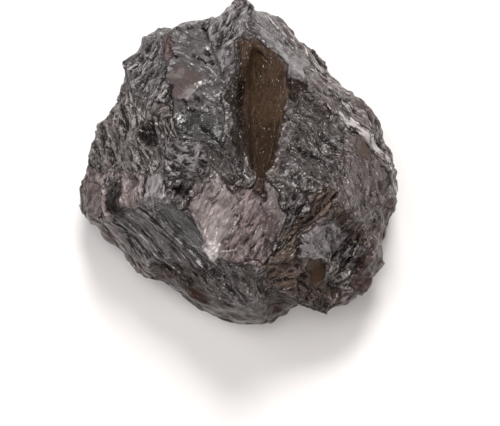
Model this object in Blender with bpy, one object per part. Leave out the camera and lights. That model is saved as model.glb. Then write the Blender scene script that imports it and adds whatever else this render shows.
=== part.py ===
"""A rough smoky quartz crystal, broken out of a larger mass and lying on its flattest face.

The stone is built the way it broke. A blank is split along one plane for each broken face, which
gives a faceted block. The window, the scar and the notch beside it are wedges split off the block,
and the shell-shaped hollows are scooped out by ellipsoids. The surface is then made uneven, thinned
to a light mesh, cut level at the base and centred, so that the stone stands on z = 0.

+Z is up, +Y is towards the stone's point, and the origin is under the middle of the stone.
"""

import math

import bmesh
import bpy
from mathutils import Euler, Matrix, Vector

MM = 0.001
BLANK = 90 * MM  # side of the blank that the block is split from
MIDDLE = Vector((0, 0, 18)) * MM  # every broken face is measured from this point

REMESH_STEP = 0.5 * MM
KEPT_SHARE = 0.11  # of the remeshed triangles, after thinning
BASE_LEVEL = 1.3 * MM  # the underside is cut level this far up, above all of its relief
QUARTZ = (0.13, 0.105, 0.098, 1.0)

# Each relief is (kind of noise, spacing, height): broad swells, then the ledges between flakes.
RELIEF = {
    "swells": ("CLOUDS", 8 * MM, 1.3 * MM),
    "ledges": ("VORONOI", 3.6 * MM, 0.9 * MM),
}

# Each broken face is (azimuth, tilt, reach): the compass direction that it faces, counted from +X
# towards +Y, how far it leans from facing straight up, both in degrees, and how far the plane lies
# from MIDDLE, in millimetres.
UPPER_FACES = {
    "pitted_face": (123, 30, 16.3),
    "left_face": (164, 57, 18.2),
    "slab_face": (-130, 57, 19.4),
    "front_face": (-105, 74, 24.9),
    "outer_ledge_face": (46, 68, 19.8),
    "inner_ledge_face": (47, 34, 16.5),
    "right_face": (12, 51, 20.4),
    "tooth_face": (-55, 47, 20.9),
    "crown": (-60, 8, 15.6),
}
SIDE_FACES = {
    "left_side": (155, 88, 24.4),
    "upper_left_side": (107, 86, 26.0),
    "point_side": (61, 87, 25.4),
    "upper_right_side": (43, 88, 23.4),
    "right_shoulder": (24, 87, 24.6),
    "right_side": (-3, 86, 27.9),
    "lower_right_side": (-9, 84, 28.5),
    "tooth_side": (-58, 87, 31.0),
    "bottom_side": (-97, 86, 28.2),
    "lower_left_side": (-119, 84, 25.1),
    "slab_side": (-127, 86, 25.3),
    "left_corner": (-150, 87, 27.9),
    "left_tip": (180, 88, 27.6),
}
UNDER_FACES = {
    "under_left": (158, 122, 25.0),
    "under_top": (95, 128, 26.5),
    "under_right": (38, 118, 23.5),
    "under_right_low": (-12, 124, 29.0),
    "under_tooth": (-58, 112, 30.2),
    "under_bottom": (-108, 124, 27.0),
    "under_slab": (-148, 128, 26.5),
    "base": (0, 180, 18.0),
}

# Each wedge is (a point on its floor, its faces): each face's azimuth, tilt and reach from the point.
WEDGES = {
    "window": (
        (4.2, 7.3, 27.0),
        [(-71, 153, 0), (172, 108, 3.5), (191, 108, 1.7), (0, 103, 3.4), (-20, 105, 2.3), (37, 106, 6.9)],
    ),
    "right_scar": (
        (14.0, 4.5, 28.0),
        [(-135, 143, 0), (48, 100, 5.6), (130, 108, 6.4)],
    ),
    "tooth_notch": (
        (7.0, -22.7, 17.0),
        [(65, 90, 0), (80, 130, 0), (165, 110, 0.6)],
    ),
    "tooth_underside": (
        (8.4, -26.5, 6.0),
        [(121, 90, 0), (-59, 4, 8.0), (31, 90, 9.0), (-149, 90, 6.0)],
    ),
    "right_side_break": (
        (25.3, -13.7, 15.0),
        [(172, 106, 0), (80, 90, 5.7), (-100, 90, 8.5)],
    ),
}
# Each hollow is (centre, the ellipsoid's radii, its turn about X, Y and Z in degrees).
HOLLOWS = {
    "veil_hollow": ((-3.5, -8.8, 37.6), (6.0, 7.6, 5.2), (0, 0, 12)),
    "deep_pit": ((-10.0, -5.2, 32.0), (2.4, 1.5, 3.2), (0, 0, -30)),
    "left_pit": ((-15.9, 5.2, 28.0), (1.1, 2.2, 2.6), (0, 0, 10)),
    "crown_scar": ((12.9, 8.6, 31.0), (4.5, 3.4, 3.4), (0, 0, 10)),
    "groove": ((10.9, -11.1, 32.7), (12.0, 1.7, 2.6), (0, 0, 42)),
    "swirl_hollow": ((18.0, -16.0, 24.0), (4.4, 2.6, 2.4), (25, 0, 50)),
    "swirl_lip": ((20.8, -18.6, 21.0), (3.2, 2.2, 2.4), (0, 30, -20)),
    "right_notch": ((30.4, -8.2, 16.0), (4.0, 2.0, 6.0), (0, 20, -20)),
    "tooth_side_notch": ((19.6, -27.4, 12.0), (1.8, 2.2, 9.0), (0, 0, 0)),
    "slab_notch": ((-16.6, -24.6, 8.0), (6.0, 5.0, 9.0), (0, 0, 30)),
    "upper_notch": ((-4.4, 28.9, 22.0), (2.8, 3.4, 12.0), (0, 0, 0)),
}
POINT_KNOB = ((0.9, 26.4, 20.0), (1.9, 2.0, 2.6), (0, 0, 0))


def facing(azimuth, tilt):
    """The unit vector of a face, from its compass direction and its lean away from straight up."""
    a, t = math.radians(azimuth), math.radians(tilt)
    return Vector((math.sin(t) * math.cos(a), math.sin(t) * math.sin(a), math.cos(t)))


def linked(name, bm):
    """Puts a finished mesh into the scene as an object."""
    mesh = bpy.data.meshes.new(name)
    bm.to_mesh(mesh)
    bm.free()
    obj = bpy.data.objects.new(name, mesh)
    bpy.context.scene.collection.objects.link(obj)
    return obj


def clear_beyond(bm, point, outward):
    """Cuts a closed mesh along one plane, takes away what lies outside it, and closes the cut."""
    everything = bm.verts[:] + bm.edges[:] + bm.faces[:]
    bmesh.ops.bisect_plane(
        bm, geom=everything, dist=0.01 * MM, plane_co=point, plane_no=outward, clear_outer=True
    )
    rim = [edge for edge in bm.edges if edge.is_boundary]
    bmesh.ops.holes_fill(bm, edges=rim, sides=0)


def split_block(name, faces, around=MIDDLE):
    """A convex block: a cube split once along each face's plane."""
    bm = bmesh.new()
    bmesh.ops.create_cube(bm, size=BLANK, matrix=Matrix.Translation(around))
    for azimuth, tilt, reach in faces:
        outward = facing(azimuth, tilt)
        clear_beyond(bm, around + outward * reach * MM, outward)
    bmesh.ops.recalc_face_normals(bm, faces=bm.faces[:])
    return linked(name, bm)


def ellipsoid(name, at, radii, turn):
    """A smooth, turned ellipsoid, for a hollow or a knob."""
    bm = bmesh.new()
    bmesh.ops.create_icosphere(bm, subdivisions=4, radius=1.0)
    size = Matrix.Diagonal((*(r * MM for r in radii), 1.0))
    turned = Euler([math.radians(angle) for angle in turn]).to_matrix().to_4x4()
    bm.transform(Matrix.Translation(Vector(at) * MM) @ turned @ size)
    return linked(name, bm)


def combine(stone, helper, operation):
    """Adds a helper to the stone, or takes it away, with a Boolean."""
    modifier = stone.modifiers.new(helper.name, "BOOLEAN")
    modifier.operation = operation
    modifier.object = helper


def roughen(stone):
    """An even mesh with uneven relief, thinned where it is flat."""
    remesh = stone.modifiers.new("even_mesh", "REMESH")
    remesh.mode = "VOXEL"
    remesh.voxel_size = REMESH_STEP
    for name, (kind, spacing, height) in RELIEF.items():
        texture = bpy.data.textures.new(name, kind)
        texture.noise_scale = spacing
        relief = stone.modifiers.new(name, "DISPLACE")
        relief.texture = texture
        relief.texture_coords = "LOCAL"
        relief.strength = height
        relief.mid_level = 0.5
    thinned = stone.modifiers.new("thinned", "DECIMATE")
    thinned.ratio = KEPT_SHARE


def level_and_centre(bm):
    """Cuts the underside flat, and moves the stone so that its box stands centred on the origin."""
    clear_beyond(bm, Vector((0, 0, BASE_LEVEL)), Vector((0, 0, -1)))
    bmesh.ops.triangulate(bm, faces=bm.faces[:])
    xs = [vert.co.x for vert in bm.verts]
    ys = [vert.co.y for vert in bm.verts]
    middle = Vector((min(xs) + max(xs), min(ys) + max(ys), 2 * BASE_LEVEL)) / 2
    bmesh.ops.translate(bm, verts=bm.verts[:], vec=-middle)
    for vert in bm.verts:
        if abs(vert.co.z) < 0.001 * MM:
            vert.co.z = 0


def quartz():
    material = bpy.data.materials.new("smoky_quartz")
    material.use_nodes = True
    shader = material.node_tree.nodes["Principled BSDF"]
    shader.inputs["Base Color"].default_value = QUARTZ
    shader.inputs["Roughness"].default_value = 0.35
    shader.inputs["Metallic"].default_value = 0.0
    return material


def main():
    for obj in list(bpy.data.objects):
        bpy.data.objects.remove(obj)
    faces = [*UPPER_FACES.values(), *SIDE_FACES.values(), *UNDER_FACES.values()]
    rough = split_block("rough_block", faces)
    helpers = [rough]
    for name, (at, faces) in WEDGES.items():
        helpers.append(split_block(name, faces, Vector(at) * MM))
        combine(rough, helpers[-1], "DIFFERENCE")
    for name, (at, radii, turn) in HOLLOWS.items():
        helpers.append(ellipsoid(name, at, radii, turn))
        combine(rough, helpers[-1], "DIFFERENCE")
    helpers.append(ellipsoid("point_knob", *POINT_KNOB))
    combine(rough, helpers[-1], "UNION")
    roughen(rough)

    bm = bmesh.new()
    bm.from_object(rough, bpy.context.evaluated_depsgraph_get())
    level_and_centre(bm)
    for helper in helpers:
        bpy.data.objects.remove(helper)
    stone = linked("smoky_quartz_crystal", bm)
    stone.data.materials.append(quartz())


if __name__ == "__main__":
    main()
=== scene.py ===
"""Looks of a rough smoky quartz crystal, built around its CAD solid and run as a script.

One operator makes the stone's broken surface: the CAD stone's own shape, remeshed finely, with the
plates, ledges, scoops, pits and shell-shaped scars that a fracture leaves in quartz. The other sets
the stage: a pale floor, soft lights and a camera that looks straight down.

Lengths inside the relief are in millimetres, in the stone's own frame: +Y is towards its small
point, +Z is up, and its base lies on z = 0.
"""

import itertools
import math
from typing import NamedTuple

import bmesh
import bpy
import numpy as np
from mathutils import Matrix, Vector


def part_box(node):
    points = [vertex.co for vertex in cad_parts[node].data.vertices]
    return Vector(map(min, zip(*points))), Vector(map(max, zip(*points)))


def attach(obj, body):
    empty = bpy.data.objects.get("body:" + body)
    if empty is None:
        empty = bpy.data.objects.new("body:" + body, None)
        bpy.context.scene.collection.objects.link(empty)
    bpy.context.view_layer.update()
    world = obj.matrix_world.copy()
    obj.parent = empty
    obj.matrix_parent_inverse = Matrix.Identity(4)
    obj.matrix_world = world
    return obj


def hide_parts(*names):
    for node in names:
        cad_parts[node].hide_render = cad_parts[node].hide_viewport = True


bl_info = {
    "name": "Rough Smoky Quartz",
    "version": (1, 0, 0),
    "blender": (4, 5, 0),
    "location": "View3D > Sidebar > Quartz",
    "description": "Makes the broken surface of a rough smoky quartz crystal, and its stage",
    "category": "Object",
}

MM = 0.001
NODE = "smoky_quartz_crystal"

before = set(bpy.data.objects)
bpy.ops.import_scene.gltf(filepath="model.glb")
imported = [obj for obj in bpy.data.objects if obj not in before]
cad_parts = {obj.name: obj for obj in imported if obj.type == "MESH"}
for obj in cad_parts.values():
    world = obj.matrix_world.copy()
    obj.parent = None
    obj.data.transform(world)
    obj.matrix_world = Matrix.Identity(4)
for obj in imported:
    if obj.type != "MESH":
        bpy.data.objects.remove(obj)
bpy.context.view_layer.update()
LOW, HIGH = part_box(NODE)

CORNERS = list(itertools.product((0, 1), repeat=3))
NEIGHBOURS = list(itertools.product((-1, 0, 1), repeat=3))


# ---------------------------------------------------------------- noise


def scrambled(cells, seed):
    """A repeatable number from 0 to 1 for each whole-number cell."""
    x, y, z = cells.astype(np.int64).astype(np.uint32).T
    mixed = x * np.uint32(0x8DA6B343) ^ y * np.uint32(0xD8163841) ^ z * np.uint32(0xCB1AB31F)
    mixed ^= np.uint32(seed * 0x9E3779B1 % 2**32)
    for shift, factor in ((15, 0x2C1B3C6D), (12, 0x297A2D39)):
        mixed = (mixed ^ mixed >> np.uint32(shift)) * np.uint32(factor)
    return (mixed ^ mixed >> np.uint32(15)) / 2.0**32


def noise(points, spacing, seed):
    """Smooth noise from -1 to 1, with swells about spacing apart: one number, or one for each axis."""
    scaled = points / np.asarray(spacing, float)
    cell = np.floor(scaled)
    part = scaled - cell
    part = part * part * (3 - 2 * part)
    total = np.zeros(len(points))
    for corner in CORNERS:
        share = np.where(corner, part, 1 - part).prod(axis=1)
        total += share * scrambled(cell + corner, seed)
    return 2 * total - 1


def bent(points, spacing, reach, seed):
    """The points moved about by up to reach, so that what is drawn on them bends."""
    moves = [noise(points, spacing, seed + axis) for axis in range(3)]
    return points + reach * np.stack(moves, axis=1)


def chips(points, spacing, seed):
    """Each point's offset from the middle of its nearest chip, and that chip's cell."""
    scaled = points / spacing
    cell = np.floor(scaled)
    nearest = np.full(len(points), 9.0)
    offset = np.zeros_like(points)
    home = np.zeros_like(points)
    for step in NEIGHBOURS:
        other = cell + step
        jitter = np.stack([scrambled(other, seed + axis) for axis in range(3)], axis=1)
        away = scaled - (other + 0.1 + 0.8 * jitter)
        distance = np.linalg.norm(away, axis=1)
        closer = distance < nearest
        nearest = np.where(closer, distance, nearest)
        offset[closer] = away[closer]
        home[closer] = other[closer]
    return offset * spacing, home


def scoops(points, spacing, seed):
    """Leaning, shell-shaped scoops that meet in sharp crests: about -0.4 in a scoop, 0.6 on a crest."""
    scaled = points / spacing
    cell = np.floor(scaled)
    lowest = np.full(len(points), 9.0)
    for step in NEIGHBOURS:
        other = cell + step
        jitter = np.stack([scrambled(other, seed + axis) for axis in range(3)], axis=1)
        slope = np.stack([scrambled(other, seed + 3 + axis) for axis in range(3)], axis=1) - 0.5
        away = scaled - (other + 0.1 + 0.8 * jitter)
        lowest = np.minimum(lowest, (away * (away + 1.5 * slope)).sum(axis=1))
    return lowest - 0.15


def ramp(values, low, high):
    """0 below low, 1 above high and a smooth rise between them. It falls where high is below low."""
    part = np.clip((values - low) / (high - low), 0, 1)
    return part * part * (3 - 2 * part)


# ---------------------------------------------------------------- plates


class Plate(NamedTuple):
    """One part of the broken surface, outlined as seen from above."""

    corners: tuple  # its outline, in millimetres
    tint: str  # which colour of the finish its flakes have
    tone: float  # how bright that colour is here
    gaps: float = 0.8  # how strongly dark gaps show between its flakes
    busy: float = 0.8  # how strong its relief is
    along: float | None = None  # which way its grain runs, in degrees from +X; level if None
    rise: float = 0.0  # how far it stands over its neighbours, in millimetres
    soft: float = 0.35  # how wide its border is, in millimetres
    long: float = 1.0  # how drawn out its grain is, 1 being short


# Broad plates first; each later one lies over those before it.
PLATES = (
    Plate(  # the shoulder at the upper left, with bright grain
        ((-13.5, 22.5), (-11.5, 18), (-11, 9), (-15.5, 11.5), (-21.5, 15.5), (-27, 12), (-17, 29), (-11, 28)),
        "cool", 0.95, 1.0, 1.0, 58,
    ),
    Plate(  # the left side
        ((-13.5, 7.5), (-11, 9), (-10.5, 5), (-13, 0), (-15, -2), (-33, -1), (-27, 14), (-21.5, 15.5)),
        "mauve", 0.74, 1.0, 1.0, 108, long=2.2,
    ),
    Plate(  # the left side's paler lower part
        ((-15, -2), (-12.5, -1.5), (-12, -6.5), (-17, -7), (-22, -9.5), (-33, -9), (-33, 0)),
        "mauve", 1.78, 1.0, 1.0, 100, long=2.2,
    ),
    Plate(  # the broad flat face at the upper left
        ((-12.5, 22.5), (-8, 30), (-1, 23.5), (-1.5, 15.5), (-2.5, 11), (-2.5, 3), (-10.5, 5), (-11.5, 9.5)),
        "cool", 0.68, 0.4, 0.3, -35,
    ),
    Plate(  # the crest that leads to the small point
        ((-7, 30), (5, 33), (1.5, 23.5), (0.5, 20.5), (-1.5, 15.5), (-3, 15), (-4.5, 20), (-6, 24.5)),
        "cool", 1.45, 0.9, 0.8, 60,
    ),
    Plate(  # a smooth milky patch on the face
        ((-11.5, 16), (-10, 18), (-8.5, 16.5), (-6, 15), (-7, 13), (-9, 11.5), (-11.5, 11.5)),
        "mauve", 0.93, 0.1, 0.05, -35, 0.1,
    ),
    Plate(  # a small reddish patch
        ((-13, 21.5), (-12.5, 22.5), (-11, 21.5), (-11.5, 19), (-12.5, 18.5), (-13.5, 19.5)),
        "rose", 1.0, 0.6, 0.4, 70,
    ),
    Plate(  # grainy ground below the face
        ((-13.5, 2.5), (-10.5, 5), (-5.5, 4), (-2.5, 2.5), (-4.5, -0.5), (-5.5, -2.5), (-10, -3),
         (-12.5, -1.5)),
        "cool", 1.74, 1.0, 1.0, -25,
    ),
    Plate(  # a dark smooth flat
        ((-10.5, 8), (-8.5, 9.5), (-6, 9.5), (-4, 8), (-2.5, 5.5), (-2.5, 3), (-5.5, 4), (-10.5, 5.5)),
        "cool", 0.2, 0.25, 0.15, -35, -0.15,
    ),
    Plate(  # the dark slope beside the window's foot
        ((-5.5, 4), (-2.5, 3), (-1, 5.5), (1, 2.5), (1.5, -1.5), (-0.5, -4), (-2.5, -2.5), (-4.5, -0.5)),
        "mauve", 0.42, 0.7, 0.5, -50,
    ),
    Plate(  # the window's shaded left edge
        ((-0.5, 20.5), (1, 21.5), (1, 0.5), (0, 0.5), (-1, 7.5), (-1.5, 11)),
        "window", 0.6, 0.5, 0.4, 90,
    ),
    Plate(  # the clear window in the deep wedge
        ((0.5, 21), (3.5, 21.5), (6, 20), (8, 17), (8.5, 13), (7, 6.5), (6.5, 2.5), (4.6, -2.5),
         (3.8, -4.8), (3, -4.6), (1, 9.5)),
        "window", 2.5, 0.25, 0.1, 90,
    ),
    Plate(  # the window's darker lower end
        ((1.5, 6), (7.5, 7), (6.5, 2.5), (4.6, -2.5), (3.8, -4.8), (2.8, -4.4), (1.5, 1.5)),
        "window", 1.6, 0.2, 0.03, 90,
    ),
    Plate(  # the ground to the right of the veil
        ((0, -6), (1.5, -3.5), (4, -5.5), (5, -13.5), (4, -17), (-3, -17), (-3.5, -16), (-1, -12), (0, -10)),
        "mauve", 1.76, 0.7, 0.5, 65,
    ),
    Plate(  # the milky veil in the middle
        ((-8.5, -7), (-6, -4), (-3.5, -1.5), (-2.5, -3), (0, -6), (0, -10), (-1, -12), (-4, -16),
         (-5.5, -15), (-7.5, -10.5)),
        "veil", 1.19, 0.45, 0.3, 62, 0.1, 0.6,
    ),
    Plate(  # a smooth wedge below the window's tip
        ((4.5, -2.5), (5.5, -3), (8, -8.5), (8, -10), (6.5, -12.5), (5, -14), (4, -10.5)),
        "mauve", 0.9, 0.35, 0.3, 75, 0.35,
    ),
    Plate(  # the pale bluish knee above the slab
        ((-16, -2.5), (-12.5, -1.5), (-11.5, -5), (-10, -7), (-12.5, -7.5), (-17, -7)),
        "cool", 2.57, 0.8, 0.7, 80,
    ),
    Plate(  # the hollow beside the knee, painted dark as shade
        ((-12, -2.5), (-10, -2), (-8, -3.5), (-8.5, -7), (-10, -7), (-11.5, -5)),
        "mauve", 0.25, 0.8, 0.9, 60, 0.7,
    ),
    Plate(  # the slab at the lower left, with its long growth bands
        ((-17, -7), (-12.5, -7.5), (-9.5, -7.5), (-6.5, -10.5), (-4.5, -15), (-4.5, -18), (-8.5, -19),
         (-16, -17),
         (-21.5, -13.5), (-22.5, -9.5)),
        "cool", 0.98, 1.0, 0.55, -47, long=3.5,
    ),
    Plate(  # the slab's smooth dark band
        ((-14, -8), (-10, -7.5), (-7, -10.5), (-5.5, -13.5), (-4.5, -17), (-7.5, -16.5), (-10.5, -13)),
        "cool", 0.22, 0.35, 0.15, -47, -0.3, long=3.5,
    ),
    Plate(  # the banded slope to the left of the slab
        ((-33, -6), (-28, -9), (-22.5, -9.5), (-21.5, -13.5), (-16, -17), (-15, -19.5), (-17, -23),
         (-33, -16)),
        "mauve", 1.68, 0.9, 0.7, -47, long=3.0,
    ),
    Plate(  # the faintly reddish slope below the slab
        ((-15.5, -17), (-8.5, -17), (-6, -18), (-3, -24), (-9, -24), (-13.5, -22.5), (-16, -20.5)),
        "rose", 0.62, 0.8, 0.6, -45, soft=0.8, long=1.5,
    ),
    Plate(  # the front face
        ((-6, -16.5), (-3, -17), (0.5, -17), (4, -19.5), (5, -22.5), (4, -24.5), (3, -30), (0, -27.5),
         (-4, -22)),
        "mauve", 0.65, 0.8, 0.7, -48,
    ),
    Plate(  # the clear red-brown foot of the front: partly its own colour, partly painted reddish light
        ((-15, -20.8), (-9, -20.8), (-4, -23), (1, -25.4), (4, -24), (7.5, -21.8), (12, -23.5),
         (11, -33), (-14, -33)),
        "garnet", 0.7, 0.2, 0.3, -30, soft=0.5,
    ),
    Plate(  # the right side, with wavy flakes
        ((9, 9.5), (13.5, 12), (17, 10), (18.5, 2.5), (17.5, -3), (15.5, -4), (12.5, -7), (10, -4.5),
         (8, -6), (6, -3)),
        "mauve", 0.41, 0.8, 0.6,
    ),
    Plate(  # a hazy field on the right side
        ((18.5, 2.5), (20, 5), (23.5, 2.5), (27.5, -2), (26.5, -7), (23.5, -9), (20.5, -10.5), (17, -7),
         (17.5, -3)),
        "mauve", 0.84, 0.65, 0.5, soft=0.8,
    ),
    Plate(  # the brownish lower right
        ((17, -7), (20.5, -10.5), (23.5, -9), (27, -6), (26.5, -10.5), (25, -13.5), (22.5, -15),
         (19.5, -13.5),
         (16.5, -10), (15.5, -8.5)),
        "olive", 0.99, 0.8, 0.6, 50, soft=1.0,
    ),
    Plate(  # two small clear spots in the haze
        ((20.5, 4.5), (22.5, 4), (23.5, 2.5), (22.5, 0.5), (21, 1.5)),
        "olive", 1.14, 0.2, 0.1, 45, -0.1, 0.7,
    ),
    Plate(
        ((24.5, -2.5), (26.5, -1.5), (27, -3), (25.5, -5.5), (24.5, -4.5)),
        "olive", 0.4, 0.1, 0.1, 45, -0.15,
    ),
    Plate(  # the shell-shaped scar at the top of the right side
        ((9.5, 9.5), (10.5, 12.5), (13.5, 13), (16.5, 10.5), (16.5, 8.5), (14, 7.5), (11, 8)),
        "mauve", 0.6, 0.6, 0.5, -20, -0.15,
    ),
    Plate(  # stripes down the upper right
        ((4, 30), (6.5, 30), (19, 21), (22, 13), (17.5, 10), (13.5, 13), (12, 18.5), (9, 21.5), (6.5, 27)),
        "mauve", 1.0, 1.0, 0.9, -48, long=3.0,
    ),
    Plate(  # the stripes' lower end, along the right ridge
        ((13.5, 13), (17.5, 10), (20.5, 12), (28, 10), (31, 0), (27.5, -2), (23.5, 2.5), (20, 5), (17.5, 8)),
        "mauve", 0.85, 1.0, 0.9, -46, long=3.0,
    ),
    Plate(  # grey plates beside the window
        ((2, 23.5), (3.5, 28), (6.5, 27), (9, 21.5), (12, 18.5), (11.5, 14.5), (8.5, 14.5), (8, 17),
         (5.5, 20.5)),
        "cool", 1.24, 0.7, 0.5, -48, 0.1,
    ),
    Plate(  # the brightest of the grey plates
        ((8, 18), (9.5, 19.5), (11.5, 16.5), (11, 15), (9, 14.5), (8.5, 16)),
        "cool", 1.5, 0.3, 0.2, -48, 0.2,
    ),
    Plate(  # a step below the grey plates, painted dark as the shadow under their ledge
        ((8.5, 14.5), (11.5, 14.5), (12, 13.5), (10.5, 12.5), (9.5, 10.5), (8.5, 11.5)),
        "window", 1.17, 0.3, 0.3, -20, -0.35,
    ),
    Plate(  # the groove, painted dark as shade in its furrow
        ((8, -10), (8, -6), (10, -4.5), (12, -5.5), (11.5, -8.5), (9.5, -11), (7, -14), (6, -14.5),
         (6.5, -12.5)),
        "mauve", 0.35, 1.0, 0.9, 50,
    ),
    Plate(  # the brown band beside the groove
        ((4, -17), (7, -14), (9.5, -11), (12.5, -7), (15.5, -4), (17, -5.5), (15.5, -8.5), (12.5, -10),
         (10.5, -12),
         (10, -15), (10.5, -17), (8, -18)),
        "olive", 1.49, 0.7, 0.4, 48, soft=0.7,
    ),
    Plate(  # the brown band's foot
        ((4, -16), (8, -18), (10.5, -17), (12, -19.5), (11, -22), (7.5, -22), (5, -20.5)),
        "olive", 1.26, 0.8, 0.6, 20, soft=0.8,
    ),
    Plate(  # the tooth at the lower right
        ((10, -19.5), (12, -18.5), (13.5, -22.5), (15, -21), (16.5, -19), (18.5, -22), (18, -24),
         (17, -30), (12, -30),
         (10.5, -24)),
        "olive", 0.84, 0.8, 0.8, -60,
    ),
    Plate(  # the swirl beside the tooth
        ((15.5, -17), (18, -14.5), (19.5, -13.5), (22, -14.5), (21.5, -18), (19, -20.5), (16.5, -21),
         (15.5, -19.5)),
        "mauve", 0.74, 1.0, 0.9, 60,
    ),
    Plate(  # the bluish petal above the tooth
        ((10, -14.5), (11, -12), (13.5, -10), (16.5, -10), (19, -12), (18, -14.5), (15.5, -17), (13.5, -16.5),
         (10.5, -16.5)),
        "cool", 2.16, 0.9, 0.5, -60, 0.3,
    ),
    Plate(  # the tooth's dark window
        ((12.5, -16.5), (14, -16.5), (15, -18.5), (15, -21), (13.5, -22.5), (12.5, -21), (12, -18.5)),
        "window", 2.99, 0.1, 0.05, 90, -0.2,
    ),
    Plate(  # reddish clear quartz low on the right: partly its own colour, partly painted reddish light
        ((24.5, -7.5), (27.5, -6), (31, -11.5), (31, -18), (26.5, -17.5), (25, -13.5)),
        "garnet", 0.9, 0.35, 0.5, 90,
    ),
    # the same reddish quartz further down: partly its own colour, partly painted reddish light
    Plate(
        ((22.5, -15.5), (25, -13.5), (26.5, -17.5), (31, -18), (29, -25), (22, -25), (20, -21), (21.5, -18)),
        "garnet", 0.8, 0.35, 0.5, 30,
    ),
    Plate(  # reddish clear quartz at the left corner: partly its own colour, partly painted reddish light
        ((-33, -2.5), (-27, -2.5), (-25, -3.5), (-23.5, -6), (-24.5, -8.5), (-28, -9), (-33, -7)),
        "rose", 0.8, 0.4, 0.4, 80,
    ),
    Plate(  # a dark gap beside the left corner, painted in shade
        ((-22.5, -3.5), (-20.5, -2.5), (-19.5, -5.5), (-19, -8.5), (-21, -9), (-22, -7)),
        "shade", 1.5, 0.8, 0.9,
    ),
    Plate(  # the deep gash in the left side, painted dark as shade in its hollow
        ((-16.6, 8), (-15.2, 7.6), (-14.5, 5.6), (-14.8, 3.2), (-15.6, 3.2), (-16, 5.2)),
        "shade", 0.8, 0.6, 0.7, 105, -0.5, 0.4, 2.0,
    ),
    Plate(  # a painted highlight: the bright spark below the veil
        ((-5.5, -15), (-4.5, -13.5), (-3, -14.5), (-3, -16), (-4, -17), (-5, -16)),
        "pale", 2.0, 0.3, 0.6, 40, 0.1, 0.5,
    ),
    Plate(  # a painted highlight along the veil's upper rim
        ((-4.5, -2), (-3.5, -1.5), (-2.5, -3.5), (-2.5, -4.5), (-3, -4.5)),
        "pale", 0.45, 0.6, 0.6, 110, 0.1,
    ),
    Plate(  # the sparkling ridge at the window's foot
        ((0.5, 1), (1.5, 1.5), (2.5, -2.5), (2.5, -4), (1.5, -4.5), (1, -2)),
        "veil", 0.5, 1.0, 1.0, 100, 0.2,
    ),
)


# How glossy each kind of quartz is, as its shader's specular level.
SHINE = {
    "cool": 0.9, "mauve": 0.75, "veil": 0.7, "pale": 0.9, "olive": 0.22, "rose": 0.4, "garnet": 0.3,
    "window": 0.1, "shade": 0.1,
}


def heading(degrees):
    """The level direction at so many degrees from +X towards +Y."""
    turn = math.radians(degrees)
    return np.array((math.cos(turn), math.sin(turn), 0.0))


def depth_in(place, corners):
    """How deep in an outline each place is, in millimetres: less than 0 outside it."""
    corners = np.array(corners, float)
    gap = np.full(len(place), 99.0)
    within = np.zeros(len(place), bool)
    for start, end in zip(corners, np.roll(corners, -1, axis=0)):
        run = end - start
        part = np.clip((place - start) @ run / (run @ run), 0, 1)
        gap = np.minimum(gap, np.linalg.norm(place - start - part[:, None] * run, axis=1))
        level = (place[:, 1] - start[1]) / (run[1] or 1.0)
        crosses = (start[1] > place[:, 1]) != (end[1] > place[:, 1])
        within ^= crosses & (place[:, 0] < start[0] + level * run[0])
    return np.where(within, gap, -gap)


# Where no plate lies, and on the steep sides: the mauve's brightness, the gaps and the relief.
GROUND_TONE = 0.8
GROUND_GAPS = 0.9
GROUND_BUSY = 0.65
STEEP = 0.12  # places that face up less than this keep level grain
LAYERED = (1, 1, 3.2)  # level grain is finer upwards than across


class Lie:
    """What the plates say about each point of the surface."""

    def __init__(self, points, facing, tints):
        count = len(points)
        self.tint = np.tile(GROUND_TONE * np.array(tints["mauve"]), (count, 1))
        self.gaps = np.full(count, GROUND_GAPS)
        self.busy = np.full(count, GROUND_BUSY)
        self.rise = np.zeros(count)
        self.border = np.ones(count)
        self.shine = np.full(count, SHINE["mauve"])
        level = points.copy()
        level[:, 2] += 0.9 * noise(points, 7, 11) + 0.25 * noise(points, 2.2, 12)
        self.grain = level * LAYERED
        self.across = level[:, 2].copy()

        ragged = bent(bent(points, 2.4, 0.8, 950), 0.8, 0.3, 960)[:, :2]
        sway = bent(points, 3.0, 0.7, 970) - points
        upward = ramp(facing, -0.35, 0.15)
        for plate in PLATES:
            deep = depth_in(ragged, plate.corners)
            share = upward * ramp(deep, -plate.soft, plate.soft)
            blend = (upward * ramp(deep, -2 * plate.soft, 2 * plate.soft))[:, None]
            self.tint += blend * (plate.tone * np.array(tints[plate.tint]) - self.tint)
            self.gaps += share * (plate.gaps - self.gaps)
            self.busy += share * (plate.busy - self.busy)
            self.rise += share * (plate.rise - self.rise)
            self.shine += share * (SHINE[plate.tint] - self.shine)
            self.border = np.where(deep > 0, 1, self.border) * ramp(np.abs(deep), 0, 0.7)
            here = (deep > 0) & (facing > STEEP)
            self.grain[here] = level[here] * LAYERED
            self.across[here] = level[here, 2]
            if plate.along is not None:
                swayed = points + sway / plate.long
                along, across = swayed @ heading(plate.along), swayed @ heading(plate.along + 90)
                self.grain[here] = np.stack([along / plate.long, 3.0 * across, points[:, 2]], axis=1)[here]
                self.across[here] = across[here]
        self.border *= ramp(np.abs(facing - STEEP), 0, 0.08)


# ---------------------------------------------------------------- relief


def pits(points, spacing, long, wide, degrees, chance, seed):
    """Small drop-shaped pits, 1 at their deepest, seen from above."""
    flat = bent(points, 0.8, 0.4, seed + 9) * (1, 1, 0)
    offset, home = chips(flat, spacing, seed)
    along = offset @ heading(degrees) / long
    across = offset @ heading(degrees + 90) / (wide * (1.2 - 0.7 * np.clip(along, -1, 1)))
    there = scrambled(home, seed + 60) < chance
    return there * ramp(np.hypot(along, across), 1, 0.45)


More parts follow.
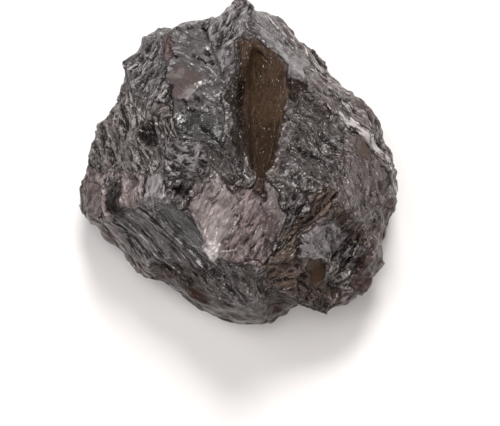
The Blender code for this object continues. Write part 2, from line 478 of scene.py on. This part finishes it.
def crease(points, start, end, width):
    """1 on a line seen from above and 0 beyond width from it, narrowing to both ends."""
    start, end = np.array(start), np.array(end)
    moved = bent(points, 3.0, 0.18, 950)[:, :2]
    run = end - start
    part = np.clip((moved - start) @ run / (run @ run), 0, 1)
    gap = np.linalg.norm(moved - start - part[:, None] * run, axis=1)
    return np.clip(1 - gap / (width * (0.35 + 2.6 * part * (1 - part))), 0, 1)


def shell(points, at, radius, ring, sector):
    """A shell-shaped scar and the rings round its middle: how deep, 0 to 1, and the rings, -1 to 1."""
    offset = bent(points, 4.0, 0.5, 970)[:, :2] - at
    away = np.linalg.norm(offset, axis=1)
    inside = ramp(away, radius * 1.05, radius * 0.9)
    if sector:
        facing = np.degrees(np.arctan2(offset[:, 1], offset[:, 0]))
        off = np.abs((facing - sector[0] + 180) % 360 - 180)
        inside = inside * ramp(off, sector[1] * 1.2, sector[1] * 0.8)
    rings = np.sin(2 * math.pi * away / ring)
    return inside * (1 - (away / radius) ** 2).clip(0, 1), inside * rings


# Shell-shaped scars: middle, radius, ring width, depth and sector (facing, half width) in degrees.
SHELLS = (
    ((13.6, 11.0), 3.6, 0.9, 0.45, (-90, 75)),
    ((9.0, 3.4), 5.2, 1.15, 0.25, (-60, 55)),
    ((16.0, -0.2), 3.2, 0.8, 0.2, None),
    ((19.2, -16.6), 3.2, 1.0, 0.4, None),
    ((12.2, -12.2), 4.6, 0.85, 0.15, (-35, 60)),
)

# Ridges, and furrows less than 0 tall: start, end, half width and height.
CREASES = (
    ((17.4, 10.2), (26.6, 1.0), 0.7, 0.35),
    ((8.3, -8.0), (6.0, -15.8), 0.4, 0.3),
    ((17.6, -4.6), (4.2, -17.4), 0.6, -0.4),
    ((-6.9, 18.4), (-2.3, 14.0), 0.5, 0.3),
    ((-6.9, 13.0), (-2.5, 8.8), 0.5, 0.35),
    ((-6.6, 6.6), (-2.8, 3.2), 0.6, -0.6),
    ((-19.6, -10.0), (-10.4, -19.4), 0.45, 0.35),
    ((-17.0, -8.4), (-6.6, -19.0), 0.5, -0.5),
    ((-15.4, -8.0), (-5.4, -18.2), 0.4, 0.4),
    ((-21.4, -10.6), (-13.4, -18.6), 0.5, -0.4),
)

# Rims that get a painted highlight: start, end, half width and strength.
RIM_HIGHLIGHTS = (
    ((17.4, 10.2), (22.2, 5.4), 0.9, 1.3),
    ((21.4, 6.0), (27.0, 0.6), 1.1, 1.3),
    ((26.9, 0.0), (28.2, -5.5), 0.6, 0.8),
    ((8.3, -8.0), (6.2, -14.8), 0.35, 0.8),
    ((-4.4, -1.9), (-2.6, -4.9), 0.5, 0.9),
    ((-8.4, -7.4), (-4.8, -15.4), 0.4, 1.1),
    ((-3.9, -15.8), (0.2, -9.0), 0.35, 0.6),
    ((4.6, 27.2), (12.2, 18.4), 0.4, 0.8),
    ((8.0, 25.4), (17.2, 13.6), 0.4, 0.8),
    ((12.6, 17.6), (20.4, 9.0), 0.45, 0.9),
    ((-15.4, -8.0), (-5.4, -18.2), 0.35, 0.8),
    ((-19.6, -10.0), (-10.4, -19.4), 0.35, 0.7),
    ((-22.2, -10.4), (-15.0, -17.8), 0.3, 0.6),
    ((-6.9, 18.4), (-2.3, 14.0), 0.4, 0.7),
    ((-6.9, 13.0), (-2.5, 8.8), 0.4, 0.7),
    ((1.0, 2.8), (2.6, -4.2), 0.4, 0.7),
    ((1.2, 24.6), (5.8, 20.2), 0.4, 0.6),
    ((10.4, -23.0), (14.6, -27.4), 0.5, 0.8),
    ((15.6, -26.8), (18.4, -22.4), 0.5, 0.6),
    ((6.4, -15.4), (15.2, -5.4), 0.3, 0.5),
    ((10.2, -14.6), (13.6, -10.2), 0.35, 0.6),
    ((16.4, -20.6), (21.6, -18.4), 0.5, 0.5),
    ((-18.6, 13.6), (-14.4, 22.4), 0.5, 0.5),
    ((-4.4, -15.4), (-0.6, -11.4), 0.25, 1.0),
    ((-4.4, -15.4), (-3.4, -9.6), 0.25, 1.0),
    ((-4.4, -15.4), (-6.0, -10.4), 0.25, 1.0),
    ((-4.4, -15.4), (0.4, -14.6), 0.25, 1.0),
    ((-4.4, -15.4), (-8.2, -14.2), 0.2, 0.8),
    ((-4.4, -15.4), (-3.0, -18.6), 0.2, 0.8),
    ((18.6, 9.8), (25.6, 3.2), 0.3, 1.0),
    ((16.0, 10.8), (21.0, 5.6), 0.3, 0.9),
)

# Where the small pits lie: on the flat face, and on the grainy ground below it.
FACE_PITS = ((-12.5, 22.5), (-8, 29), (-3, 24), (-3, 3.5), (-10.5, 5), (-11.5, 9.5))
GRAIN_PITS = ((-13.5, 2.5), (-10.5, 5), (-4, 3.5), (-5.5, -2.5), (-12.5, -1.5))


# The outline of the clear window's flat cleft.
PANE = (
    (1.5, 21), (4, 21.5), (6.5, 20), (9, 17.5), (9, 13), (7.8, 6.5), (7, 2.5), (4.8, -2.8), (2, -2.8),
    (1, 9.5),
)


def pane_level(points):
    """The height of the window's cleft, which faces left and falls away towards the small point."""
    across = points[:, 0] - 3
    beyond = points[:, 1] - 10
    fall = np.where(beyond > 0, 0.12, 0.42)
    ripple = 0.12 * noise(points, 1.6, 90) + 0.2 * noise(points, 5.0, 91)
    return 24.6 + 0.6 * across - fall * beyond + ripple


def ledges(across, points, pitch, seed):
    """Steps that rise slowly and fall off in small cliffs, each to its own height."""
    turns = across / pitch + 0.5 * noise(points, 4.5, seed) + 0.15 * noise(points, 1.5, seed + 1)
    step = np.floor(turns)
    tall = scrambled(np.stack([step, 0 * step, 0 * step], axis=1), seed)
    patchy = ramp(noise(points, 5.0, seed + 2), -0.3, 0.3)
    return (turns - step - 0.5) * tall * patchy


# Layers of the relief: height and spacing in millimetres, and seed.
BROAD_SCOOPS = (2.4, 7.5, 31)
GRAIN_SCOOPS = ((1.3, 4.6, 1), (0.62, 2.1, 11))  # these follow the grain
FINE_SCOOPS = (0.25, 1.4, 21)
BROAD_LEDGES = (0.7, 2.3, 61)
FINE_LEDGES = (0.5, 1.1, 71)
PIT_DEPTH = 0.45
GRAIN_PIT_DEPTH = 0.25
RING_HEIGHT = 0.05


def scooped(points, layer):
    """One layer of scoops, in millimetres."""
    tall, spacing, seed = layer
    return tall * scoops(points, spacing, seed)


def stepped(across, points, layer):
    """One layer of ledges, in millimetres."""
    tall, spacing, seed = layer
    return tall * ledges(across, points, spacing, seed)


def relief(points, lie):
    """The height of the broken surface over the CAD stone, and how much of it is pits."""
    moved = bent(lie.grain, 3.0, 0.6, 40)
    height = scooped(bent(points, 6.0, 1.2, 50), BROAD_SCOOPS)
    for layer in GRAIN_SCOOPS:
        height += lie.border * scooped(moved, layer)
    height += scooped(points, FINE_SCOOPS)
    height *= lie.busy
    height += (0.05 + 0.65 * lie.busy) * lie.border * stepped(lie.across, points, BROAD_LEDGES)
    height += lie.busy * lie.border * stepped(lie.across, points, FINE_LEDGES)
    height += lie.rise

    shut = ramp(lie.gaps, 0.12, 0.4)
    on_face = shut * ramp(depth_in(points[:, :2], FACE_PITS), 0, 0.5)
    on_grain = ramp(depth_in(points[:, :2], GRAIN_PITS), 0, 0.5)
    holes = on_face * pits(points, 2.3, 1.1, 0.3, -30, 0.6, 31)
    grains = on_grain * pits(points, 1.2, 0.5, 0.24, -50, 0.6, 32)
    height -= PIT_DEPTH * holes + GRAIN_PIT_DEPTH * grains

    for at, radius, ring, depth, sector in SHELLS:
        inside, rings = shell(points, at, radius, ring, sector)
        height += RING_HEIGHT * rings - depth * inside
    for start, end, width, tall in CREASES:
        height += tall * crease(points, start, end, width)
    return height, np.maximum(holes, grains)


# ---------------------------------------------------------------- the stone's mesh


def fine_stone(step):
    """The CAD stone's mesh, merged, remeshed to small even squares and closed by one flat base."""
    bm = bmesh.new()
    bm.from_mesh(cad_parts[NODE].data)
    bmesh.ops.remove_doubles(bm, verts=bm.verts[:], dist=0.001 * MM)
    mesh = bpy.data.meshes.new("broken_quartz")
    bm.to_mesh(mesh)
    bm.free()
    stone = bpy.data.objects.new("broken_quartz", mesh)
    bpy.context.scene.collection.objects.link(stone)
    remesh = stone.modifiers.new("fine_mesh", "REMESH")
    remesh.mode = "VOXEL"
    remesh.voxel_size = step
    bm = bmesh.new()
    bm.from_object(stone, bpy.context.evaluated_depsgraph_get())
    stone.modifiers.clear()
    base_level = 0.3 * step
    bmesh.ops.bisect_plane(
        bm,
        geom=bm.verts[:] + bm.edges[:] + bm.faces[:],
        plane_co=(0, 0, base_level),
        plane_no=(0, 0, -1),
        clear_outer=True,
    )
    upper = [vert for vert in bm.verts if vert.co.z > 2 * step]
    for _ in range(3):
        bmesh.ops.smooth_vert(bm, verts=upper, factor=0.5, use_axis_x=True, use_axis_y=True, use_axis_z=True)
    rim = [edge for edge in bm.edges if edge.is_boundary]
    bmesh.ops.holes_fill(bm, edges=rim, sides=0)
    for vert in bm.verts:
        if vert.co.z < 1.5 * base_level:
            vert.co.z = 0
    bm.to_mesh(mesh)
    bm.free()
    return stone


def averaged(values, edges, rounds):
    """Values at the vertices, each averaged with its neighbours a number of times."""
    values = np.array(values, float)
    count = np.bincount(edges.ravel(), minlength=len(values)).clip(1)
    for _ in range(rounds):
        total = np.zeros_like(values)
        for column in range(values.shape[1]):
            ends = values[edges, column]
            total[:, column] = np.bincount(
                edges.ravel(), weights=ends[:, ::-1].ravel(), minlength=len(values)
            )
        values = 0.5 * values + 0.5 * total / count[:, None]
    return values


def read(collection, name, width, kind=np.float32):
    """One property of every item in a mesh, as an array."""
    values = np.zeros(len(collection) * width, kind)
    collection.foreach_get(name, values)
    return values.reshape(-1, width)


def paint(mesh, name, kind, values):
    """Stores something at each vertex, for the material to read."""
    layer = mesh.attributes.new(name, kind, "POINT")
    field = {"FLOAT": "value", "FLOAT_VECTOR": "vector", "FLOAT_COLOR": "color"}[kind]
    layer.data.foreach_set(field, values.astype(np.float32).ravel())


def crests(height, edges):
    """How far each place stands over its near and its wider neighbours, from about -1 to 1."""
    near = height - averaged(height[:, None], edges, 6)[:, 0]
    wide = height - averaged(height[:, None], edges, 40)[:, 0]
    return 0.6 * np.tanh(near / 0.1) + 0.5 * np.tanh(wide / 0.3)


def painted_rim_highlights(points, facing):
    """How strongly a painted highlight along a rim shows: broken up along its line, and not on the steep
    sides.
    """
    lines = [glow * crease(points, start, end, width) for start, end, width, glow in RIM_HIGHLIGHTS]
    broken = np.clip(0.7 + noise(points, 1.3, 77), 0, 1)
    return np.max(lines, axis=0) * broken * ramp(facing, 0.0, 0.3)


def break_surface(stone, depth, tints):
    """Moves the fine mesh in and out by the relief, and stores what each place looks like."""
    mesh = stone.data
    points = read(mesh.vertices, "co", 3).astype(float) / MM
    edges = read(mesh.edges, "vertices", 2, np.int32)
    normals = averaged(read(mesh.vertex_normals, "vector", 3), edges, 6)
    normals /= np.linalg.norm(normals, axis=1)[:, None]

    lie = Lie(points, normals[:, 2], tints)
    patch = bent(lie.grain, 3.0, 1.0, 80)
    lie.gaps *= 0.45 + 0.75 * ramp(noise(patch, 3.6, 83), -0.35, 0.3)
    height, holes = relief(points, lie)
    height *= depth * ramp(points[:, 2], 0.0, 1.2)
    moved = points + normals * height[:, None]
    moved[:, 2] = moved[:, 2].clip(0)
    on_pane = ramp(depth_in(points[:, :2], PANE), -0.2, 0.6) * ramp(points[:, 2], 14, 17)
    moved[:, 2] += on_pane * (pane_level(points) - moved[:, 2]).clip(0)
    mesh.vertices.foreach_set("co", (moved * MM).astype(np.float32).ravel())
    mesh.update()

    opaque = np.ones((len(points), 1))
    paint(mesh, "tint", "FLOAT_COLOR", np.hstack([lie.tint, opaque]))
    paint(mesh, "grain", "FLOAT_VECTOR", lie.grain)
    paint(mesh, "gaps", "FLOAT", lie.gaps)
    # Painted highlight and shade: the material paints crests lighter and hollows darker from this.
    paint(mesh, "crest", "FLOAT", crests(height, edges))
    paint(mesh, "holes", "FLOAT", holes)
    paint(mesh, "shine", "FLOAT", lie.shine)
    # Where the painted rim highlights lie.
    paint(mesh, "rims", "FLOAT", painted_rim_highlights(points, normals[:, 2]))


# ---------------------------------------------------------------- materials


def joined(tree, kind, inputs=None, **settings):
    """A new node with these settings; its inputs take values or other nodes' outputs."""
    node = tree.nodes.new(kind)
    for name, value in settings.items():
        setattr(node, name, value)
    for name, value in (inputs or {}).items():
        if isinstance(value, bpy.types.NodeSocket):
            tree.links.new(value, node.inputs[name])
        else:
            node.inputs[name].default_value = value
    return node


def mixed(tree, share, first, second):
    """A colour between two, by a share from 0 to 1."""
    node = joined(tree, "ShaderNodeMix", data_type="RGBA")
    for slot, value in ((0, share), (6, first), (7, second)):
        if isinstance(value, bpy.types.NodeSocket):
            tree.links.new(value, node.inputs[slot])
        else:
            node.inputs[slot].default_value = value
    return node.outputs[2]


def maths(tree, operation, first, second=0.0, third=0.0):
    """One step of arithmetic on numbers or sockets."""
    node = joined(tree, "ShaderNodeMath", operation=operation, use_clamp=False)
    for slot, value in enumerate((first, second, third)):
        if isinstance(value, bpy.types.NodeSocket):
            tree.links.new(value, node.inputs[slot])
        else:
            node.inputs[slot].default_value = value
    return node.outputs[0]


def product(tree, first, *others):
    """Two or more numbers multiplied together."""
    for other in others:
        first = maths(tree, "MULTIPLY", first, other)
    return first


def scaled(tree, value, factor, offset):
    """A number times a factor, with an offset added; the offset may be another number's socket."""
    return maths(tree, "MULTIPLY_ADD", value, factor, offset)


def maprange(tree, value, low, high, top=1.0):
    """0 at low, top at high and a straight rise between them."""
    inputs = {"Value": value, "From Min": low, "From Max": high, "To Max": top}
    return joined(tree, "ShaderNodeMapRange", inputs).outputs["Result"]


def painted(tree, name, output="Fac"):
    """What is stored on the surface under this name."""
    return joined(tree, "ShaderNodeAttribute", attribute_name=name).outputs[output]


def speckle(tree, place, scale, detail, warp):
    """Noise from 0 to 1, mostly near 0.5."""
    settings = {"Vector": place, "Scale": scale, "Detail": detail, "Roughness": 0.65, "Distortion": warp}
    return joined(tree, "ShaderNodeTexNoise", settings).outputs["Fac"]


def cells(tree, place, scale, feature="F1"):
    """The surface split into cells, or with another feature the distance to their edges."""
    return joined(tree, "ShaderNodeTexVoronoi", {"Vector": place, "Scale": scale}, feature=feature).outputs


def channel(tree, colour, name):
    """One channel of a colour, as a number from 0 to 1."""
    return joined(tree, "ShaderNodeSeparateColor", {"Color": colour}).outputs[name]


def facets(tree, place, scale):
    """The height of small flat facets, each leaning its own way."""
    found = cells(tree, place, scale)
    offset = joined(tree, "ShaderNodeVectorMath", {0: place, 1: found["Position"]}, operation="SUBTRACT")
    lean = joined(tree, "ShaderNodeVectorMath", {0: found["Color"], 1: (0.5, 0.5, 0.5)}, operation="SUBTRACT")
    both = {0: offset.outputs["Vector"], 1: lean.outputs["Vector"]}
    return joined(tree, "ShaderNodeVectorMath", both, operation="DOT_PRODUCT").outputs["Value"]


FLAKE = 0.42  # scale of the main flakes, in cells to a millimetre of grain
CHIP = 1.3  # scale of the small chips on them


class Grain(NamedTuple):
    """What each part of the quartz's finish reads."""

    place: bpy.types.NodeSocket  # where along the grain, swayed
    gaps: bpy.types.NodeSocket  # how strongly dark gaps show
    streaks: bpy.types.NodeSocket  # long soft noise along the grain
    flecks: bpy.types.NodeSocket  # short noise along the grain


def grain_of(tree):
    """Reads the grain and makes the noise that runs along it."""
    grain = painted(tree, "grain", "Vector")
    streaks = speckle(tree, grain, 0.8, 5.0, 0.5)
    sway = joined(tree, "ShaderNodeTexNoise", {"Vector": grain, "Scale": 1.1, "Detail": 2.0}).outputs["Color"]
    inputs = {0: sway, 1: (1.0, 1.0, 1.0), 2: grain}
    swayed = joined(tree, "ShaderNodeVectorMath", inputs, operation="MULTIPLY_ADD").outputs["Vector"]
    return Grain(swayed, painted(tree, "gaps"), streaks, speckle(tree, grain, 2.4, 2.0, 0.0))


def cracks(tree, grain):
    """1 in the thin cracks between flakes, and in some small round pockets."""
    edge = cells(tree, grain.place, FLAKE, "DISTANCE_TO_EDGE")["Distance"]
    thin = product(tree, maprange(tree, edge, 0.15, 0.05), maprange(tree, grain.streaks, 0.53, 0.43))
    drops = cells(tree, grain.place, 0.55)
    some = maprange(tree, channel(tree, drops["Color"], "Blue"), 0.45, 0.55)
    rounds = maprange(tree, drops["Distance"], 0.3, 0.18)
    pockets = product(tree, some, maprange(tree, grain.gaps, 0.12, 0.3), rounds)
    return maths(tree, "MAXIMUM", thin, pockets)


def tone_and_light_share(tree, grain):
    """How bright each place's colour is, from 0 in the gaps, cracks and pits to 1.3 on the flakes. The
    streaks and flake tones are the quartz's own uneven tone; the rise on crests is a painted highlight, and
    the fall in hollows and pits is painted shade.
    """
    lit = scaled(tree, grain.streaks, 4.0, -2.0)
    # Painted highlight and shade: places that stand over their neighbours are painted lighter, hollows
    # darker.
    lit = scaled(tree, painted(tree, "crest"), 1.2, lit)
    lit = scaled(tree, grain.flecks, 1.2, maths(tree, "SUBTRACT", lit, 0.6))
    lit = maprange(tree, product(tree, lit, grain.gaps), -0.62, 0.46, 1.3)
    flake = channel(tree, cells(tree, grain.place, FLAKE)["Color"], "Green")
    uneven = product(tree, maths(tree, "SUBTRACT", flake, 0.5), grain.gaps)
    cracked = product(tree, cracks(tree, grain), grain.gaps)
    # Painted shade in the pits: they are painted darker.
    pit_shade = scaled(tree, painted(tree, "holes"), -0.9, 1.0)
    return product(tree, lit, scaled(tree, uneven, 0.8, 1.0), scaled(tree, cracked, -0.9, 1.0), pit_shade)


def painted_glints(tree, grain, lit):
    """How much of the pale colour shows, as painted glints and highlights: on bright flecks, rims, specks and
    scratches.
    """
    bright = product(tree, maprange(tree, product(tree, grain.flecks, grain.gaps), 0.5, 0.58, 0.25), lit)
    rims = scaled(tree, painted(tree, "rims"), 3.2, scaled(tree, grain.flecks, 6.0, -4.2))
    dots = cells(tree, grain.place, 1.5)
    few = maprange(tree, channel(tree, dots["Color"], "Red"), 0.89, 1.0)
    rounds = maprange(tree, dots["Distance"], 0.38, 0.22, 0.9)
    specks = product(tree, few, rounds, maprange(tree, grain.gaps, 0.08, 0.3))
    edge = cells(tree, grain.place, 0.5, "DISTANCE_TO_EDGE")["Distance"]
    broken = maprange(tree, grain.flecks, 0.55, 0.65)
    scratches = product(tree, maprange(tree, edge, 0.11, 0.04, 0.45), broken, grain.gaps)
    for other in (maths(tree, "MINIMUM", rims, 0.8), specks, scratches):
        bright = maths(tree, "MAXIMUM", bright, other)
    return bright


def ripples(tree, grain):
    """The height of the finest relief: streaks, flakes and chips."""
    height = scaled(tree, facets(tree, grain.place, FLAKE), 0.9, grain.streaks)
    height = scaled(tree, facets(tree, grain.place, CHIP), 0.7, height)
    return product(tree, height, grain.gaps)


def quartz(finish):
    """Glassy smoky quartz: bright flakes along the grain, with dark gaps where light sinks in. Its colour
    also holds painted highlights on crests, rims and glints, and painted shade in hollows and pits.
    """
    material = bpy.data.materials.new("broken_smoky_quartz")
    material.use_nodes = True
    tree = material.node_tree
    shader = tree.nodes["Principled BSDF"]
    grain = grain_of(tree)
    lit = tone_and_light_share(tree, grain)

    tint = painted(tree, "tint", "Color")
    # The colour of the gaps, mostly the shade colour: in the hollows and pits it is painted shade.
    deep = mixed(tree, 0.94, tint, (*finish.shade, 1))
    colour = mixed(tree, lit, deep, tint)
    # Painted glints and highlights, in the pale colour.
    colour = mixed(tree, painted_glints(tree, grain, lit), colour, (*finish.pale, 1))
    tree.links.new(colour, shader.inputs["Base Color"])

    tree.links.new(scaled(tree, lit, 0.1, finish.gloss), shader.inputs["Roughness"])
    shader.inputs["IOR"].default_value = 1.55
    shine = product(tree, painted(tree, "shine"), scaled(tree, lit, 0.7, 0.3))
    tree.links.new(shine, shader.inputs["Specular IOR Level"])
    bumps = {"Strength": 1.0, "Distance": 0.45 * MM, "Height": ripples(tree, grain)}
    bump = joined(tree, "ShaderNodeBump", bumps)
    tree.links.new(bump.outputs["Normal"], shader.inputs["Normal"])
    return material


def floor_material(colour):
    """Plain pale paper, very slightly uneven."""
    material = bpy.data.materials.new("pale_floor")
    material.use_nodes = True
    tree = material.node_tree
    shader = tree.nodes["Principled BSDF"]
    place = joined(tree, "ShaderNodeTexCoord").outputs["Object"]
    grain = joined(tree, "ShaderNodeTexNoise", {"Vector": place, "Scale": 40.0}).outputs["Fac"]
    pale = (*colour, 1)
    worn = (*(0.97 * c for c in colour), 1)
    tree.links.new(mixed(tree, grain, worn, pale), shader.inputs["Base Color"])
    shader.inputs["Roughness"].default_value = 0.8
    return material


# ---------------------------------------------------------------- settings and operators


class QuartzSurface(bpy.types.PropertyGroup):
    mesh_step: bpy.props.FloatProperty(
        name="Mesh step", description="Size of the fine mesh's squares", default=0.322 * MM, unit="LENGTH"
    )
    relief_depth: bpy.props.FloatProperty(
        name="Relief depth", description="How deep the scoops and ledges are, 1 being natural", default=1.0
    )


def colour_setting(name, description, default):
    return bpy.props.FloatVectorProperty(
        name=name, description=description, default=default, size=3, subtype="COLOR", min=0, max=1
    )


class QuartzFinish(bpy.types.PropertyGroup):
    # Grey flakes with a painted bluish sheen of cool light in their colour.
    cool: colour_setting("Cool grey", "Flakes with a bluish sheen", (0.088, 0.077, 0.079))
    mauve: colour_setting("Mauve", "Most of the flakes", (0.095, 0.069, 0.066))
    veil: colour_setting("Veil", "The milky veil", (0.196, 0.161, 0.155))
    # Painted highlights: the pale colour of the painted glints, rims and sparks.
    pale: colour_setting("Pale", "Glints, rims and sparks", (0.550, 0.510, 0.500))
    olive: colour_setting("Olive", "Brownish clear quartz", (0.085, 0.056, 0.042))
    rose: colour_setting("Rose", "Faintly reddish quartz", (0.088, 0.050, 0.044))
    # Red-brown partly of the quartz itself and partly painted reddish light shining through it.
    garnet: colour_setting("Garnet", "Reddish clear quartz", (0.066, 0.031, 0.024))
    window: colour_setting("Window", "The clear dark window", (0.024, 0.014, 0.008))
    # Painted shade: the colour of the dark gaps, pits and hollows, partly also the dark quartz seen within
    # the gaps.
    shade: colour_setting("Shade", "Gaps that light sinks into", (0.007, 0.005, 0.004))
    gloss: bpy.props.FloatProperty(
        name="Smooth roughness", description="Roughness of the clear faces", default=0.12, min=0, max=1
    )


TINTS = ("cool", "mauve", "veil", "pale", "olive", "rose", "garnet", "window", "shade")


class QuartzStage(bpy.types.PropertyGroup):
    camera_height: bpy.props.FloatProperty(
        name="Camera height", description="Height of the camera", default=387.7 * MM, unit="LENGTH"
    )
    camera_across: bpy.props.FloatProperty(
        name="Camera across", description="Camera's place along X", default=2.04 * MM, unit="LENGTH"
    )
    camera_along: bpy.props.FloatProperty(
        name="Camera along", description="Camera's place along Y", default=-8.47 * MM, unit="LENGTH"
    )
    lens: bpy.props.FloatProperty(name="Lens", description="Focal length in millimetres", default=150.0)
    floor_size: bpy.props.FloatProperty(
        name="Floor size", description="Side of the square floor", default=1.2, unit="LENGTH"
    )
    floor_colour: colour_setting("Floor", "Colour of the floor", (0.86, 0.85, 0.84))
    key_watts: bpy.props.FloatProperty(
        name="Key light", description="Power of the key, in watts", default=4.6
    )
    side_watts: bpy.props.FloatProperty(
        name="Side lights", description="Power of each side light, in watts", default=2.0
    )
    sky: bpy.props.FloatProperty(
        name="Sky", description="Strength of the even light all round", default=0.12
    )


class QUARTZ_OT_stone(bpy.types.Operator):
    """Make the stone's finished surface around its CAD solid"""

    bl_idname = "quartz.stone"
    bl_label = "Make the stone"

    def execute(self, context):
        surface = context.scene.quartz_surface
        finish = context.scene.quartz_finish
        tints = {name: tuple(getattr(finish, name)) for name in TINTS}
        stone = fine_stone(surface.mesh_step)
        break_surface(stone, surface.relief_depth, tints)
        stone.data.materials.append(quartz(finish))
        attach(stone, "root")
        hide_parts(NODE)
        return {"FINISHED"}


def softbox(name, at, size, watts, colour, aim):
    """A square light that points at the stone."""
    light = bpy.data.lights.new(name, "AREA")
    light.size = size
    light.energy = watts
    light.color = colour
    lamp = bpy.data.objects.new(name, light)
    lamp.location = at
    lamp.rotation_euler = (Vector(aim) - Vector(at)).to_track_quat("-Z", "Y").to_euler()
    bpy.context.scene.collection.objects.link(lamp)


class QUARTZ_OT_stage(bpy.types.Operator):
    """Set the floor, the lights and the camera"""

    bl_idname = "quartz.stage"
    bl_label = "Set the stage"

    def execute(self, context):
        scene = context.scene
        stage = scene.quartz_stage
        bm = bmesh.new()
        bmesh.ops.create_grid(bm, x_segments=2, y_segments=2, size=stage.floor_size / 2)
        mesh = bpy.data.meshes.new("floor")
        bm.to_mesh(mesh)
        bm.free()
        floor = bpy.data.objects.new("floor", mesh)
        mesh.materials.append(floor_material(stage.floor_colour))
        scene.collection.objects.link(floor)

        middle = (LOW + HIGH) / 2
        softbox("key", (0.04, 0.46, 0.56), 0.20, stage.key_watts, (1.0, 0.98, 0.97), middle)
        softbox("left", (-0.40, 0.16, 0.60), 0.40, stage.side_watts, (1.0, 0.97, 0.97), middle)
        softbox("over", (-0.06, 0.10, 0.90), 0.30, stage.side_watts, (1.0, 0.97, 0.96), middle)
        softbox("right", (0.45, -0.20, 0.50), 0.35, 0.8 * stage.side_watts, (1.0, 0.93, 0.89), middle)

        world = bpy.data.worlds.new("studio")
        world.use_nodes = True
        sky = world.node_tree.nodes["Background"]
        sky.inputs["Color"].default_value = (1, 1, 1, 1)
        sky.inputs["Strength"].default_value = stage.sky
        scene.world = world

        lens = bpy.data.cameras.new("camera")
        lens.lens = stage.lens
        lens.clip_start = 0.01
        camera = bpy.data.objects.new("camera", lens)
        camera.location = (stage.camera_across, stage.camera_along, stage.camera_height)
        scene.collection.objects.link(camera)
        scene.camera = camera
        scene.view_settings.view_transform = "Standard"
        return {"FINISHED"}


class QUARTZ_PT_panel(bpy.types.Panel):
    """Lists the steps in the sidebar"""

    bl_idname = "QUARTZ_PT_panel"
    bl_label = "Rough Smoky Quartz"
    bl_space_type = "VIEW_3D"
    bl_region_type = "UI"
    bl_category = "Quartz"

    def draw(self, context):
        layout = self.layout
        for settings, operator in (
            ((context.scene.quartz_surface, context.scene.quartz_finish), QUARTZ_OT_stone),
            ((context.scene.quartz_stage,), QUARTZ_OT_stage),
        ):
            for group in settings:
                for name in group.__annotations__:
                    layout.prop(group, name)
            layout.operator(operator.bl_idname)


CLASSES = (QuartzSurface, QuartzFinish, QuartzStage, QUARTZ_OT_stone, QUARTZ_OT_stage, QUARTZ_PT_panel)


def register():
    for cls in CLASSES:
        bpy.utils.register_class(cls)
    bpy.types.Scene.quartz_surface = bpy.props.PointerProperty(type=QuartzSurface)
    bpy.types.Scene.quartz_finish = bpy.props.PointerProperty(type=QuartzFinish)
    bpy.types.Scene.quartz_stage = bpy.props.PointerProperty(type=QuartzStage)


def unregister():
    del bpy.types.Scene.quartz_stage
    del bpy.types.Scene.quartz_finish
    del bpy.types.Scene.quartz_surface
    for cls in reversed(CLASSES):
        bpy.utils.unregister_class(cls)


def main():
    register()
    bpy.ops.quartz.stone()
    bpy.ops.quartz.stage()


if __name__ == "__main__":
    main()
